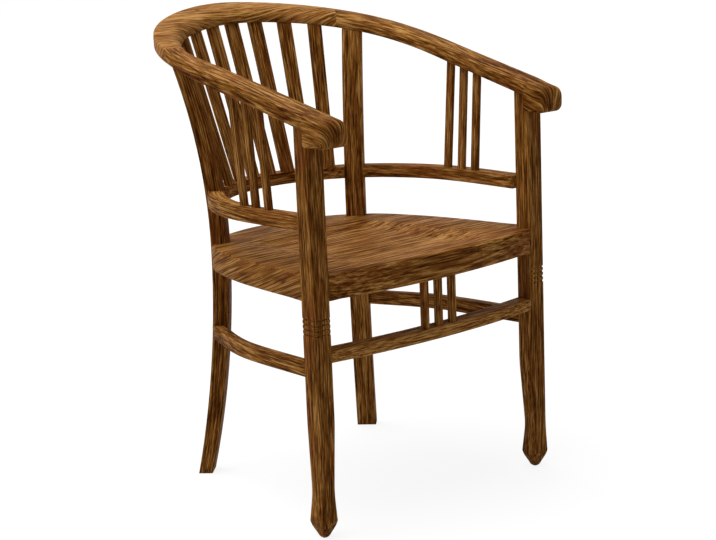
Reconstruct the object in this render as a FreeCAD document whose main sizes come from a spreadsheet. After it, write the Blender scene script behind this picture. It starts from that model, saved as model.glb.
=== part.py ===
import FreeCAD, Part
import math
import os
import Sketcher
from types import SimpleNamespace

Vector = FreeCAD.Vector
UP = Vector(0, 0, 1)
BACK = Vector(0, 1, 0)
ACROSS = Vector(1, 0, 0)

# Planters chair: a hardwood armchair whose flat arm ring runs round the back.
# Lengths are millimetres and angles are degrees.
# Depths are measured from the front faces of the front legs, with +Y to the back,
# and every finished piece is then placed so that the origin is the middle of the footprint.

SIZES = {
    # Ring of the two arms and the crest rail
    "arm_span": 573.2,
    "back_reach": 624.0,
    "arm_overhang": 52.0,
    "ring_height": 732.9,
    "ring_angle": 12.5,
    "ring_thickness": 25.2,
    "arm_end_breadth": 54.0,
    "arm_breadth": 45.0,
    "corner_breadth": 53.0,
    "crest_breadth": 65.7,
    "arm_end_drop": 41.5,
    "arm_nose_radius": 19.0,
    "arm_chin_radius": 12.0,
    # Front legs, which run up as arm posts
    "leg_spread": 540.0,
    "leg_width": 34.5,
    "leg_depth": 35.0,
    "leg_taper_height": 205.0,
    "ankle_height": 82.0,
    "ankle_inset": 7.1,
    "ankle_rear_inset": 5.0,
    "foot_height": 30.0,
    "foot_flare": 3.4,
    "foot_inner_inset": 3.2,
    "foot_tip_width": 14.0,
    "foot_tip_depth": 13.0,
    "foot_shoulder_height": 21.0,
    "foot_shoulder_inset": 2.2,
    "groove_height": 387.2,
    "groove_pitch": 9.0,
    "groove_width": 5.0,
    "groove_depth": 2.5,
    # Rear legs, which curve up as back posts
    "post_across": 164.7,
    "post_back": 411.9,
    "post_turn": 45.0,
    "post_width": 38.0,
    "post_thickness": 30.0,
    "post_end_thickness": 26.5,
    "post_waist_height": 440.0,
    "post_foot_lean": 51.2,
    "post_top_rise": 107.1,
    "post_top_lean": 74.0,
    # Lower back rail with its two arm rails, which lie a height above the seat
    "rail_span": 528.0,
    "rail_reach": 495.4,
    "rail_height": 96.4,
    "rail_drop": 12.9,
    "rail_breadth": 31.0,
    "rail_thickness": 23.3,
    # Seat
    "seat_reach": 491.5,
    "seat_height": 462.6,
    "seat_drop": 16.7,
    "seat_thickness": 46.0,
    "seat_bow": 25.8,
    "seat_edge_radius": 6.0,
    "dish_depth": 7.0,
    "dish_lift": 2.5,
    "dish_half_width": 180.0,
    "dish_back": 385.0,
    "dish_slope_width": 75.0,
    "dish_front_lead": 25.0,
    "dish_front_width": 150.0,
    # Stretchers
    "stretcher_span": 518.0,
    "stretcher_step": 23.0,
    "stretcher_drop": 14.8,
    "stretcher_breadth": 21.5,
    "stretcher_thickness": 25.7,
    "front_stretcher_height": 329.5,
    "front_stretcher_bow": 19.0,
    "front_stretcher_depth": 35.0,
    "front_stretcher_thickness": 20.5,
    "stretcher_edge_radius": 2.5,
    # Upright spindles between the front stretcher and the seat
    "spindle_size": 12.0,
    "spindle_pitch": 32.0,
    "spindle_set_back": 12.0,
    "spindle_edge_radius": 1.5,
    # Slats of the back and of the sides
    "slat_thickness": 12.2,
    "slat_foot_width": 26.0,
    "slat_head_width": 27.7,
    "slat_foot_inset": 9.0,
    "slat_head_inset": 20.0,
    "slat_edge_radius": 2.0,
    "side_slat_thickness": 9.0,
    "side_slat_width": 16.0,
    "side_slat_back": 185.5,
    "side_slat_pitch": 36.5,
    "side_slat_inset": 6.0,
    "side_slat_edge_radius": 1.5,
    # Tenons, dowels and screws
    "tenon_length": 14.0,
    "tenon_root": 1.2,
    "tenon_thickness": 12.0,
    "tenon_height": 14.0,
    "post_tenon_width": 20.0,
    "slat_tenon_length": 9.0,
    "slat_shoulder": 3.0,
    "joint_room": 0.3,
    "dowel_diameter": 8.0,
    "dowel_length": 32.0,
    "dowel_pitch": 22.0,
    "screw_diameter": 4.5,
    "screw_head_diameter": 9.0,
    "screw_head_height": 3.0,
    "screw_length": 48.0,
    "screw_angle": 40.0,
    "screw_pocket": 12.0,
    "screw_pocket_diameter": 10.2,
    "overrun": 60.0,
}

GROOVE_COUNT = 4
SPINDLE_COUNT = 3
SIDE_SLAT_COUNT = 3
DISH_STEPS = 16
LEVEL_STEPS = 8

# Plan shapes of the curved pieces, from the front to the middle of the back.
# Each pair is a share of half the span and a share of the reach.
RING_PLAN_SHARES = (
    (0.980, 0.131), (0.994, 0.343), (1.000, 0.480), (0.970, 0.609), (0.904, 0.710),
    (0.785, 0.801), (0.625, 0.878), (0.436, 0.938), (0.220, 0.982), (0.000, 1.000),
)
RING_FRONT_SHARE = 0.970
RAIL_PLAN_SHARES = (
    (0.981, 0.061), (0.996, 0.242), (1.000, 0.363), (0.985, 0.486), (0.932, 0.608),
    (0.841, 0.723), (0.712, 0.826), (0.542, 0.908), (0.337, 0.965), (0.114, 0.996),
)
SEAT_PLAN_SHARES = (
    (0.993, 0.075), (0.970, 0.163), (0.948, 0.285), (0.922, 0.407), (0.889, 0.527),
    (0.837, 0.647), (0.770, 0.760), (0.716, 0.813), (0.644, 0.856), (0.563, 0.902),
    (0.470, 0.938), (0.359, 0.966), (0.241, 0.985), (0.000, 1.000),
)
# The side stretchers stop at the rear legs, so their reach is the rear legs' place.
STRETCHER_PLAN_SHARES = ((0.998, 0.073), (0.977, 0.364), (0.922, 0.680), (0.787, 0.971))
# Their curve runs on past both ends by these shares of its first and its last span.
STRETCHER_LEAD_SHARE = 0.2
STRETCHER_TAIL_SHARE = 0.5

# Shares of the way round half the ring at which its breadth is set.
BREADTH_STATION_SHARES = (0.0, 0.45, 0.75, 1.0)

# Joints of the top ring: the share of the way round half the ring, with the plan angle of
# the joint line. The two joints are not a mirrored pair.
LEFT_JOINT_SHARE = 0.537
LEFT_JOINT_ANGLE = 21.0
RIGHT_JOINT_SHARE = 0.695
RIGHT_JOINT_ANGLE = 53.0

# The level at which the seat screws cross into the legs, as a share of the seat's thickness.
SCREW_LEVEL_SHARE = 0.46

# Places of the back slats, as shares of half the lower rail and of half the ring, counted
# round each curve from its front end to the middle of the back.
SLAT_FOOT_SHARES = (1.0, 0.924, 0.849, 0.772)
SLAT_HEAD_SHARES = (1.0, 0.918, 0.834, 0.750)


class Size:
    """A length that knows its value and its formula over the cells of the sheet."""

    def __init__(self, value, formula):
        self.value = value
        self.formula = formula

    def joined(self, other, sign, value):
        formula = other.formula if isinstance(other, Size) else repr(other)
        return Size(value, "(" + self.formula + " " + sign + " " + formula + ")")

    def __add__(self, other):
        return self.joined(other, "+", self.value + plain(other))

    def __sub__(self, other):
        return self.joined(other, "-", self.value - plain(other))

    def __mul__(self, other):
        return self.joined(other, "*", self.value * plain(other))

    def __truediv__(self, other):
        return self.joined(other, "/", self.value / plain(other))


def plain(number):
    return number.value if isinstance(number, Size) else number


doc = FreeCAD.newDocument("planters_chair")
sheet = doc.addObject("Spreadsheet::Sheet", "sizes")
for row, (name, number) in enumerate(SIZES.items(), start=1):
    sheet.set("A" + str(row), name.replace("_", " "))
    sheet.set("B" + str(row), str(number))
    sheet.setAlias("B" + str(row), name)
doc.recompute()

mm = SimpleNamespace(**{name: float(sheet.get(name)) for name in SIZES})
cell = SimpleNamespace(**{name: Size(float(sheet.get(name)), "sizes." + name) for name in SIZES})
nodes = []


# Levels of the sloping pieces

RING_SLOPE = math.tan(math.radians(mm.ring_angle))


def ring_top(y):
    return mm.ring_height + RING_SLOPE * y


def ring_under(y):
    return ring_top(y) - mm.ring_thickness


def rail_top(y):
    return mm.seat_height + mm.rail_height - mm.rail_drop * y / mm.rail_reach


def seat_top(y):
    return mm.seat_height - mm.seat_drop * y / mm.seat_reach


def seat_under(y):
    return seat_top(y) - mm.seat_thickness


def stretcher_top(y):
    """The side stretchers lie a step lower than the front one."""
    level = mm.front_stretcher_height - mm.stretcher_step
    return level - mm.stretcher_drop * y / mm.post_back


# Plan curves

def right_half(shares, half_span, reach):
    return [Vector(half_span * x, reach * y, 0) for x, y in shares]


def whole(half):
    """The points from the right front round the back to the left front."""
    middle = [point for point in half if point.x == 0]
    beside = [point for point in half if point.x != 0]
    return beside + middle + [Vector(-point.x, point.y, 0) for point in reversed(beside)]


def curve_through(points):
    curve = Part.BSplineCurve()
    curve.interpolate(points)
    return curve


def unit(vector):
    return Vector(vector).normalize()


def inward_at(curve, place):
    """The unit vector from the curve to its inner side, for a curve that runs right to left."""
    along = curve.tangent(place)[0]
    return unit(Vector(-along.y, along.x, 0))


def between(share, stations, values):
    for low, high, first, last in zip(stations, stations[1:], values, values[1:]):
        if share <= high:
            return first + (last - first) * (share - low) / (high - low)
    return values[-1]


def place_at(curve, half_share):
    """The parameter of the point that lies a share of the way from the right end to the middle."""
    edge = curve.toShape()
    return edge.getParameterByLength(edge.Length * half_share / 2)


def inner_points(curve, points, breadth_of):
    """The points moved inward by the breadth, which follows the share of the way to the middle."""
    length = curve.toShape().Length
    moved = []
    for point in points:
        place = curve.parameter(point)
        share = 0.0
        if place > curve.FirstParameter:
            share = curve.length(curve.FirstParameter, place) / length
        breadth = breadth_of(1.0 - abs(1.0 - 2.0 * share))
        moved.append(point + inward_at(curve, place) * breadth)
    return moved


def band_face(outer, inner):
    """The flat face between two curves that run the same way."""
    edges = [
        outer.toShape(),
        Part.makeLine(outer.EndPoint, inner.EndPoint),
        inner.toShape(),
        Part.makeLine(inner.StartPoint, outer.StartPoint),
    ]
    return Part.Face(Part.Wire(Part.__sortEdges__(edges)))


# Solids

def side_prism(points, half_width):
    """A solid across the chair with an outline of (depth, height) points and edges."""
    wire = Part.makePolygon([Vector(-half_width, y, z) for y, z in points + points[:1]])
    return Part.Face(wire).extrude(Vector(2 * half_width, 0, 0))


def slab(top, thickness):
    """The sloping slab below a level line, as wide and as deep as any piece needs."""
    front = -mm.arm_overhang - mm.overrun
    back = mm.back_reach + mm.overrun
    outline = [(front, top(front)), (back, top(back))]
    outline += [(y, z - thickness) for y, z in reversed(outline)]
    return side_prism(outline, mm.arm_span)


def above_ring_under():
    """All the space that the ring rests in and over, down to its underside."""
    return slab(lambda y: ring_under(y) + mm.back_reach, mm.back_reach)


def plan_prism(points):
    """A tall solid over a plan polygon."""
    wire = Part.makePolygon([Vector(x, y, 0) for x, y in points + points[:1]])
    return Part.Face(wire).extrude(Vector(0, 0, mm.ring_height + mm.back_reach))


def peg(place, breadth, height, reach, room=0.0):
    """A square tenon from just inside its shoulder; with room it is the mortise for it."""
    point, along, across = place
    root = mm.tenon_root
    third = along.cross(across)
    corner = point - across * (breadth / 2 + room) - third * (height / 2 + room) - along * (root + room)
    box = Part.makeBox(breadth + 2 * room, height + 2 * room, reach + root + 2 * room)
    turn = FreeCAD.Matrix(
        across.x, third.x, along.x, corner.x,
        across.y, third.y, along.y, corner.y,
        across.z, third.z, along.z, corner.z,
        0, 0, 0, 1,
    )
    box.Placement = FreeCAD.Placement(turn)
    return box


def rod(start, along, length, diameter):
    return Part.makeCylinder(diameter / 2, length, start, along)


def long_edges(shape):
    """The edges that run the length of a long piece."""
    longest = max(edge.Length for edge in shape.Edges)
    return [edge for edge in shape.Edges if edge.Length > longest / 2]


# Document objects

def finish(item, label):
    """Name a piece and stand it round the middle of the footprint."""
    item.Label = label
    item.setExpression("Placement.Base.y", "(sizes.arm_overhang - sizes.back_reach) / 2")
    nodes.append(item)
    return item


def shaped(label, shape):
    """A piece whose shape comes from the sheet's sizes through its own formula."""
    item = doc.addObject("Part::Feature", label)
    item.Shape = shape.removeSplitter()
    item.Placement = FreeCAD.Placement()
    return finish(item, label)


def carved(label, base, cutters):
    """A piece cut from its blank by the joints that it takes."""
    tool = doc.addObject("Part::Feature", label + "_joints")
    tool.Shape = Part.makeCompound(cutters)
    piece = doc.addObject("Part::Cut", label)
    piece.Base = base
    piece.Tool = tool
    return finish(piece, label)


def origin_plane(body, role):
    return [item for item in body.Origin.OriginFeatures if item.Role == role][0]


def new_body(name):
    return doc.addObject("PartDesign::Body", name)


def outline_sketch(body, name, role, points, bulges=None):
    """A closed sketch through points of sheet sizes; a bulge is the point that an arc passes."""
    sketch = body.newObject("Sketcher::SketchObject", name)
    sketch.AttachmentSupport = [(origin_plane(body, role), "")]
    sketch.MapMode = "FlatFace"
    bulges = bulges or {}
    flat = [Vector(plain(x), plain(y), 0) for x, y in points]
    count = len(flat)
    for index in range(count):
        start = flat[index]
        end = flat[(index + 1) % count]
        if index in bulges:
            middle = bulges[index][0]
            arc = Part.Arc(start, Vector(plain(middle[0]), plain(middle[1]), 0), end)
            sketch.addGeometry(arc, False)
        else:
            sketch.addGeometry(Part.LineSegment(start, end), False)
    starts = [end_code(sketch, index, flat[index]) for index in range(count)]
    for index in range(count):
        after = (index + 1) % count
        last = 3 - starts[index]
        sketch.addConstraint(Sketcher.Constraint("Coincident", index, last, after, starts[after]))
    for index, (x, y) in enumerate(points):
        for kind, length in (("DistanceX", x), ("DistanceY", y)):
            bind(sketch, Sketcher.Constraint(kind, -1, 1, index, starts[index], plain(length)), length)
    for index in bulges:
        radius = bulges[index][1]
        bind(sketch, Sketcher.Constraint("Radius", index, plain(radius)), radius)
    return sketch


def end_code(sketch, index, point):
    """1 or 2, the end of an edge that lies at the point."""
    gap_to_first = (sketch.getPoint(index, 1) - point).Length
    gap_to_second = (sketch.getPoint(index, 2) - point).Length
    return 1 if gap_to_first <= gap_to_second else 2


def bind(sketch, constraint, length):
    index = sketch.addConstraint(constraint)
    if isinstance(length, Size):
        sketch.setExpression("Constraints[" + str(index) + "]", length.formula)


def pad(body, sketch, length, backward=False, both_ways=False):
    feature = body.newObject("PartDesign::Pad", sketch.Name + "_pad")
    feature.Profile = sketch
    feature.setExpression("Length", length.formula)
    feature.Reversed = backward
    feature.Midplane = both_ways
    sketch.Visibility = False
    doc.recompute()
    return feature


def pocket(body, sketch, length, both_ways):
    """A pocket that must take something away."""
    before = body.Shape.Volume
    feature = body.newObject("PartDesign::Pocket", sketch.Name + "_pocket")
    feature.Profile = sketch
    feature.setExpression("Length", length.formula)
    feature.Midplane = both_ways
    sketch.Visibility = False
    doc.recompute()
    if body.Shape.Volume >= before:
        raise ValueError(sketch.Name + " cuts nothing")
    return feature


# Top ring, in three pieces with butt joints

def ring_breadth(share):
    """The breadth of the ring a share of the way from an arm's end to the middle of the back."""
    breadths = (mm.arm_end_breadth, mm.arm_breadth, mm.corner_breadth, mm.crest_breadth)
    return between(share, BREADTH_STATION_SHARES, breadths)


def ring_blank():
    half_span = mm.arm_span / 2
    front = [Vector(half_span * RING_FRONT_SHARE, -mm.arm_overhang, 0)]
    points = whole(front + right_half(RING_PLAN_SHARES, half_span, mm.back_reach))
    outer = curve_through(points)
    inner = curve_through(inner_points(outer, points, ring_breadth))
    plan = band_face(outer, inner)
    plan.translate(Vector(0, 0, mm.seat_height))
    tall = plan.extrude(Vector(0, 0, mm.ring_height + mm.back_reach - mm.seat_height))
    return tall.common(ring_side_profile()), outer


def ring_side_profile():
    """The ring seen from the side: a sloping board whose front end hooks down past the leg."""
    front = -mm.arm_overhang
    back = mm.back_reach + mm.overrun
    heel = -mm.joint_room
    chin = ring_top(front) - mm.arm_end_drop + mm.arm_chin_radius
    tilt = math.radians(mm.ring_angle)
    nose_y = front + mm.arm_nose_radius
    nose_z = ring_top(nose_y) - mm.arm_nose_radius / math.cos(tilt)
    nose = Vector(0, nose_y, nose_z)
    top_tangent = nose + Vector(0, -math.sin(tilt), math.cos(tilt)) * mm.arm_nose_radius
    half = (math.pi / 2 + tilt) / 2
    nose_middle = nose + Vector(0, -math.cos(half - tilt), math.sin(half - tilt)) * mm.arm_nose_radius
    chin_centre = Vector(0, front + mm.arm_chin_radius, chin)
    slant = math.pi / 4
    chin_middle = chin_centre - Vector(0, math.cos(slant), math.sin(slant)) * mm.arm_chin_radius
    chin_foot = chin_centre - Vector(0, 0, mm.arm_chin_radius)
    nose_front = Vector(0, front, nose_z)
    chin_front = Vector(0, front, chin)
    corners = [
        top_tangent,
        Vector(0, back, ring_top(back)),
        Vector(0, back, ring_under(back)),
        Vector(0, heel, ring_under(heel)),
        Vector(0, heel, chin_foot.z),
        chin_foot,
    ]
    edges = [Part.makeLine(first, last) for first, last in zip(corners, corners[1:])]
    edges.append(Part.Arc(chin_foot, chin_middle, chin_front).toShape())
    edges.append(Part.makeLine(chin_front, nose_front))
    edges.append(Part.Arc(nose_front, nose_middle, top_tangent).toShape())
    face = Part.Face(Part.Wire(Part.__sortEdges__(edges)))
    face.translate(Vector(-mm.arm_span, 0, 0))
    return face.extrude(Vector(2 * mm.arm_span, 0, 0))


def joint_line(side, share, angle):
    """The middle of a ring joint and the unit vector along it, to the outside."""
    place = place_at(RING_OUTER, share)
    point = RING_OUTER.value(place) + inward_at(RING_OUTER, place) * (ring_breadth(share) / 2)
    point.x = side * point.x
    turn = math.radians(angle)
    return point, Vector(side * math.cos(turn), math.sin(turn), 0)


def front_of_joint(side, point, outward):
    """The tall solid over all that lies before a ring joint on its side."""
    far = mm.back_reach
    inside = point - outward * mm.overrun
    outside = point + outward * mm.overrun
    return plan_prism([
        (inside.x, inside.y),
        (outside.x, outside.y),
        (side * far, outside.y),
        (side * far, -far),
        (0, -far),
        (0, inside.y),
    ])


def ring_dowel_places():
    """The start, the direction and the joint side of each dowel of the two ring joints."""
    places = []
    for side, (point, outward) in RING_JOINTS.items():
        along = unit(Vector(-outward.y, outward.x, 0) * side)
        along = unit(Vector(along.x, along.y, along.y * RING_SLOPE))
        for step in (-0.5, 0.5):
            at = point + outward * mm.dowel_pitch * step
            centre = Vector(at.x, at.y, ring_top(at.y) - mm.ring_thickness / 2)
            places.append((centre, along))
    return places


def dowels(length, diameter):
    return [
        rod(centre - along * (length / 2), along, length, diameter)
        for centre, along in ring_dowel_places()
    ]


# Rear leg axes

def post_axes(side):
    """The waist point of a rear leg, its outward direction and its direction to the front."""
    turn = math.radians(mm.post_turn)
    outward = Vector(side * math.sin(turn), math.cos(turn), 0)
    forward = Vector(side * math.cos(turn), -math.sin(turn), 0)
    return Vector(side * mm.post_across, mm.post_back, 0), outward, forward


def arc_radius(rise, run):
    """The radius of an arc that starts upright and leans by rise over the run."""
    return (rise * rise + run * run) / (rise * 2)


POST_TOP_RADIUS = arc_radius(
    mm.post_top_lean, mm.ring_height + mm.post_top_rise - mm.post_waist_height
)


def post_lean(z):
    """How far the middle line of a rear leg has leaned outward at a height."""
    run = z - mm.post_waist_height
    if run > 0:
        radius = POST_TOP_RADIUS
    else:
        radius = arc_radius(mm.post_foot_lean, mm.post_waist_height)
    return radius - math.sqrt(radius * radius - run * run)


def post_point(side, z, forward_share=0.0):
    waist, outward, forward = post_axes(side)
    point = waist + outward * post_lean(z) + forward * (mm.post_width * forward_share)
    return Vector(point.x, point.y, z)


def ring_under_post(side):
    """The point where a rear leg's middle line meets the ring, and the leg's direction there."""
    z = ring_under(mm.post_back)
    for step in range(LEVEL_STEPS):
        z = ring_under(post_point(side, z).y)
    run = z - mm.post_waist_height
    outward = post_axes(side)[1]
    along = unit(outward * run + UP * math.sqrt(POST_TOP_RADIUS ** 2 - run ** 2))
    return post_point(side, z), along


# Joint places

def leg_top_place(side):
    x = side * (mm.leg_spread - mm.leg_width) / 2
    y = mm.leg_depth / 2
    return Vector(x, y, ring_under(y)), UP, ACROSS


def leg_top_peg(side, room=0.0):
    return peg(leg_top_place(side), mm.post_tenon_width, mm.post_tenon_width, mm.tenon_length, room)


def post_top_peg(side, room=0.0):
    point, along = ring_under_post(side)
    forward = post_axes(side)[2]
    return peg((point, along, forward), mm.post_tenon_width, mm.tenon_thickness, mm.tenon_length, room)


def front_stretcher_peg(side, room=0.0):
    x = side * (mm.leg_spread / 2 - mm.leg_width)
    z = mm.front_stretcher_height - mm.front_stretcher_thickness / 2
    place = (Vector(x, mm.leg_depth / 2, z), ACROSS * side, BACK)
    return peg(place, mm.tenon_height, mm.tenon_thickness, mm.tenon_length, room)


def leg_back_peg(side, curve_x, breadth, top, thickness, room=0.0):
    """The tenon of a side piece into the rear face of a front leg."""
    outer = min(curve_x, mm.leg_spread / 2)
    inner = max(curve_x - breadth, mm.leg_spread / 2 - mm.leg_width)
    x = side * (outer + inner) / 2
    place = (Vector(x, mm.leg_depth, top(mm.leg_depth) - thickness / 2), BACK * -1, ACROSS)
    return peg(place, mm.tenon_thickness, mm.tenon_height, mm.tenon_length, room)


def post_side_peg(side, facing, z, offset, room=0.0):
    """A tenon into a side face of a rear leg; facing is 1 for its front side, -1 for its rear."""
    outward, forward = post_axes(side)[1:]
    face = post_point(side, z, facing / 2) + outward * offset
    place = (face, forward * -facing, outward)
    reach = min(mm.tenon_length, mm.post_width / 2 - mm.tenon_root)
    return peg(place, mm.tenon_thickness, mm.tenon_height, reach, room)


def rail_offset():
    """How far the lower rail's middle line lies from the middle line of the rear leg."""
    z = rail_top(mm.post_back) - mm.rail_thickness / 2
    centre = post_point(1, z)
    outward = post_axes(1)[1]
    nearest = RAIL_OUTER.value(RAIL_OUTER.parameter(Vector(centre.x, centre.y, 0)))
    outer = (nearest - Vector(centre.x, centre.y, 0)).dot(outward)
    inner = outer - mm.rail_breadth
    low = max(inner, -mm.post_thickness / 2)
    high = min(outer, mm.post_thickness / 2)
    return (low + high) / 2


def rail_post_peg(side, facing, room=0.0):
    z = rail_top(mm.post_back) - mm.rail_thickness / 2
    return post_side_peg(side, facing, z, rail_offset(), room)


def stretcher_post_peg(side, room=0.0):
    z = stretcher_top(mm.post_back) - mm.stretcher_thickness / 2
    offset = (mm.post_end_thickness - mm.tenon_thickness) / 4
    return post_side_peg(side, 1, z, offset, room)


def rail_leg_peg(side, room=0.0):
    half_span = mm.rail_span / 2 * RAIL_PLAN_SHARES[0][0]
    return leg_back_peg(side, half_span, mm.rail_breadth, rail_top, mm.rail_thickness, room)


def stretcher_leg_peg(side, room=0.0):
    half_span = mm.stretcher_span / 2 * STRETCHER_PLAN_SHARES[0][0]
    return leg_back_peg(
        side, half_span, mm.stretcher_breadth, stretcher_top, mm.stretcher_thickness, room
    )


# Seat screws

def screw_places():
    """The pocket mouth and the direction of each seat screw: two front legs, two rear legs."""
    rise = math.radians(mm.screw_angle)
    level = mm.seat_thickness * SCREW_LEVEL_SHARE
    run = level / math.tan(rise)
    places = []
    for side in (-1, 1):
        outward = post_axes(side)[1]
        leg_face = Vector(side * (mm.leg_spread / 2 - mm.leg_width), mm.leg_depth / 2, 0)
        post_face = post_point(side, mm.post_waist_height) - outward * (mm.post_thickness / 2)
        for face, toward in ((leg_face, ACROSS * side), (post_face, outward)):
            mouth = face - toward * run
            mouth.z = seat_under(face.y)
            places.append((mouth, unit(toward * math.cos(rise) + UP * math.sin(rise))))
    return places


def screw(mouth, along):
    head_start = mouth + along * (mm.screw_pocket - mm.screw_head_height)
    neck = mouth + along * mm.screw_pocket
    head = rod(head_start, along, mm.screw_head_height, mm.screw_head_diameter)
    shank = rod(neck, along, mm.screw_length, mm.screw_diameter)
    return head.fuse(shank)


def screw_holes():
    room = mm.joint_room
    holes = []
    for mouth, along in screw_places():
        pocket_start = mouth - along * mm.screw_pocket
        pocket_hole = rod(pocket_start, along, 2 * mm.screw_pocket, mm.screw_pocket_diameter)
        depth = mm.screw_pocket + mm.screw_length + room
        shank_hole = rod(mouth, along, depth, mm.screw_diameter + 2 * room)
        holes.append(pocket_hole.fuse(shank_hole))
    return holes


# Curves that several pieces share

RAIL_POINTS = whole(right_half(RAIL_PLAN_SHARES, mm.rail_span / 2, mm.rail_reach))
RAIL_OUTER = curve_through(RAIL_POINTS)
RING_BLANK, RING_OUTER = ring_blank()
RING_JOINTS = {
    -1: joint_line(-1, LEFT_JOINT_SHARE, LEFT_JOINT_ANGLE),
    1: joint_line(1, RIGHT_JOINT_SHARE, RIGHT_JOINT_ANGLE),
}


# Slats

def slat_lines():
    """Foot centre, head centre and plan angle of each back slat, from left to right."""
    lines = []
    for side in (-1, 1):
        for foot_share, head_share in zip(SLAT_FOOT_SHARES, SLAT_HEAD_SHARES):
            foot_place = place_at(RAIL_OUTER, foot_share)
            head_place = place_at(RING_OUTER, head_share)
            foot = RAIL_OUTER.value(foot_place)
            foot += inward_at(RAIL_OUTER, foot_place) * (mm.rail_breadth / 2 + mm.slat_foot_inset)
            head = RING_OUTER.value(head_place)
            head_inset = ring_breadth(head_share) / 2 + mm.slat_head_inset
            head += inward_at(RING_OUTER, head_place) * head_inset
            facing = inward_at(RAIL_OUTER, foot_place) + inward_at(RING_OUTER, head_place)
            foot.x = side * foot.x
            head.x = side * head.x
            facing = unit(Vector(side * facing.x, facing.y, 0))
            foot.z = rail_top(foot.y)
            head.z = ring_under(head.y)
            lines.append((foot, head, facing))
    left = lines[1:4][::-1]
    return left + lines[4:]


def side_slat_lines(side):
    """Foot centre, head centre and facing direction of the slats under one arm."""
    lines = []
    for index in range(SIDE_SLAT_COUNT):
        y = mm.side_slat_back + (index - (SIDE_SLAT_COUNT - 1) / 2) * mm.side_slat_pitch
        ends = []
        for outer, breadth in ((RAIL_OUTER, mm.rail_breadth), (RING_OUTER, mm.arm_breadth)):
            near = outer.value(outer.parameter(Vector(mm.arm_span / 2, y, 0)))
            ends.append(Vector(side * (near.x - breadth / 2 - mm.side_slat_inset), y, 0))
        foot, head = ends
        foot.z = rail_top(y)
        head.z = ring_under(y)
        lines.append((foot, head, ACROSS * -side))
    return lines


def slat_axes(foot, head, facing):
    along = unit(head - foot)
    wide = unit(UP.cross(facing))
    deep = unit(along.cross(wide))
    return along, wide, deep


def meet_level(low, high, level):
    """The point of the line from low to high at which its height is the level of its depth."""
    gap_low = low.z - level(low.y)
    gap_high = high.z - level(high.y)
    return low + (high - low) * (gap_low / (gap_low - gap_high))


def slat_solid(line, foot_width, head_width, thickness, radius):
    """A tapered board whose ends lie on the lower rail and under the ring."""
    foot, head, facing = line
    along, wide, deep = slat_axes(foot, head, facing)
    rings = []
    for centre, width, level in ((foot, foot_width, rail_top), (head, head_width, ring_under)):
        ring = []
        for across, out in ((-0.5, -0.5), (0.5, -0.5), (0.5, 0.5), (-0.5, 0.5)):
            low = foot + wide * (foot_width * across) + deep * (thickness * out)
            high = head + wide * (head_width * across) + deep * (thickness * out)
            ring.append(meet_level(low, high, level))
        rings.append(Part.makePolygon(ring + ring[:1]))
    board = Part.makeLoft(rings, True, True)
    return board.makeFillet(radius, long_edges(board))


def slat_pegs(line, width, thickness, room=0.0):
    foot, head, facing = line
    along, wide, deep = slat_axes(foot, head, facing)
    breadth = width - 2 * mm.slat_shoulder
    height = thickness - mm.slat_shoulder
    low = peg((foot, along * -1, wide), breadth, height, mm.slat_tenon_length, room)
    high = peg((head, along, wide), breadth, height, mm.slat_tenon_length, room)
    return low, high


BACK_LINES = slat_lines()
SIDE_LINES = {side: side_slat_lines(side) for side in (-1, 1)}


def all_slat_pegs(side, end, room):
    """The tenons at one end, 0 for the foot and 1 for the head, of the slats on a side or the back."""
    if side == 0:
        return [slat_pegs(line, mm.slat_foot_width, mm.slat_thickness, room)[end] for line in BACK_LINES]
    lines = SIDE_LINES[side]
    return [slat_pegs(line, mm.side_slat_width, mm.side_slat_thickness, room)[end] for line in lines]


# Spindles

def spindle_centres():
    steps = [index - (SPINDLE_COUNT - 1) / 2 for index in range(SPINDLE_COUNT)]
    y = mm.spindle_set_back - mm.front_stretcher_bow
    return [Vector(step * mm.spindle_pitch, y, mm.front_stretcher_height) for step in steps]


def spindle_pegs(centre, room=0.0):
    size = mm.spindle_size - mm.slat_shoulder
    foot = (centre, UP * -1, ACROSS)
    head = (Vector(centre.x, centre.y, seat_under(centre.y)), UP, ACROSS)
    return [peg(place, size, size, mm.slat_tenon_length, room) for place in (foot, head)]


# Pieces: front legs

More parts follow.
